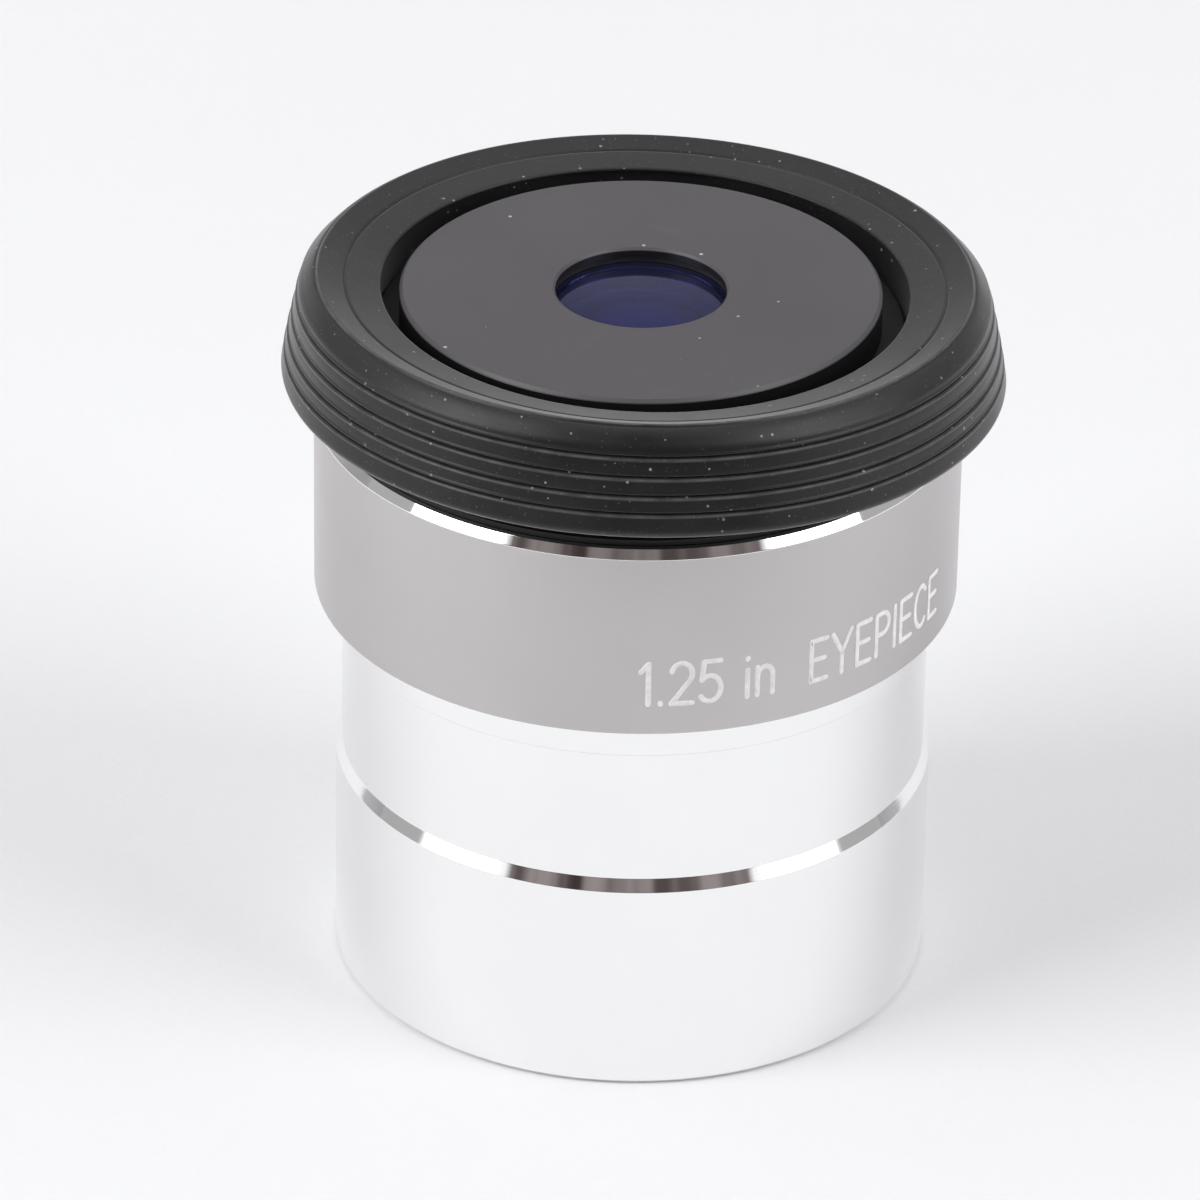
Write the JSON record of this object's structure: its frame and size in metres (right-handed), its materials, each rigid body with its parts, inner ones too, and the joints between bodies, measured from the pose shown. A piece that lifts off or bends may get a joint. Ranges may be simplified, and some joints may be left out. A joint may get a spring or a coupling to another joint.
{
  "type": "telescope eyepiece",
  "caption": "Short cylindrical telescope eyepiece: bright metal barrel with an undercut, satin grey housing, black top cap over coated lenses and a rubber eyeguard folded down.",
  "frame": {"origin": "centre of the barrel's open lower end, on the plane that the eyepiece stands on", "axes": "+Z along the optical axis, from the barrel's open end towards the eye; -Y is the side with the engraved figures' first digit"},
  "size_m": [0.0378, 0.0378, 0.0397],
  "materials": {
    "bright_aluminium": "fine-turned, bright satin",
    "satin_aluminium": "bead-blasted and anodised light grey, with a bright diamond-cut rim",
    "black_anodised": "matte black anodised",
    "coated_glass": "polished, with an indigo anti-reflection coating",
    "black_rubber": "soft matte, moulded with ribs"
  },
  "bodies": {
    "barrel": {"barrel": "bright_aluminium"},
    "lens_stack": {"eye_flint_lens": "coated_glass", "eye_crown_lens": "coated_glass", "lens_spacer": "black_anodised", "field_crown_lens": "coated_glass", "field_flint_lens": "coated_glass"},
    "housing": {"upper_housing": "satin_aluminium", "eye_neck": "black_anodised", "top_cap": "black_anodised", "lens_cell": "black_anodised", "lens_retaining_ring": "black_anodised", "field_stop": "black_anodised"},
    "eyeguard_base": {"eyeguard_collar": "black_rubber", "eyeguard_sleeve": "black_rubber"},
    "eyeguard_skirt": {"eyeguard_skirt": "black_rubber"}
  },
  "joints": [
    {"name": "housing_screw_travel", "type": "slide", "parent": "barrel", "child": "lens_stack", "axis": [0, 0, 1], "range_m": [0, 0.003]},
    {"name": "housing_screw_turn", "type": "hinge", "parent": "lens_stack", "child": "housing", "pos_m": [0, 0, 0.024], "axis": [0, 0, 1], "range_deg": [0, 1440]},
    {"name": "eyeguard_turn", "type": "hinge", "parent": "housing", "child": "eyeguard_base", "pos_m": [0, 0, 0.0344], "axis": [0, 0, 1], "continuous": true},
    {"name": "eyeguard_fold", "type": "slide", "parent": "eyeguard_base", "child": "eyeguard_skirt", "axis": [0, 0, 1], "range_m": [0, 0.0058], "deforming": ["eyeguard_sleeve"]}
  ],
  "couplings": [
    {"joint": "housing_screw_travel", "follows": "housing_screw_turn", "m_per_rad": 0.00011936}
  ]
}
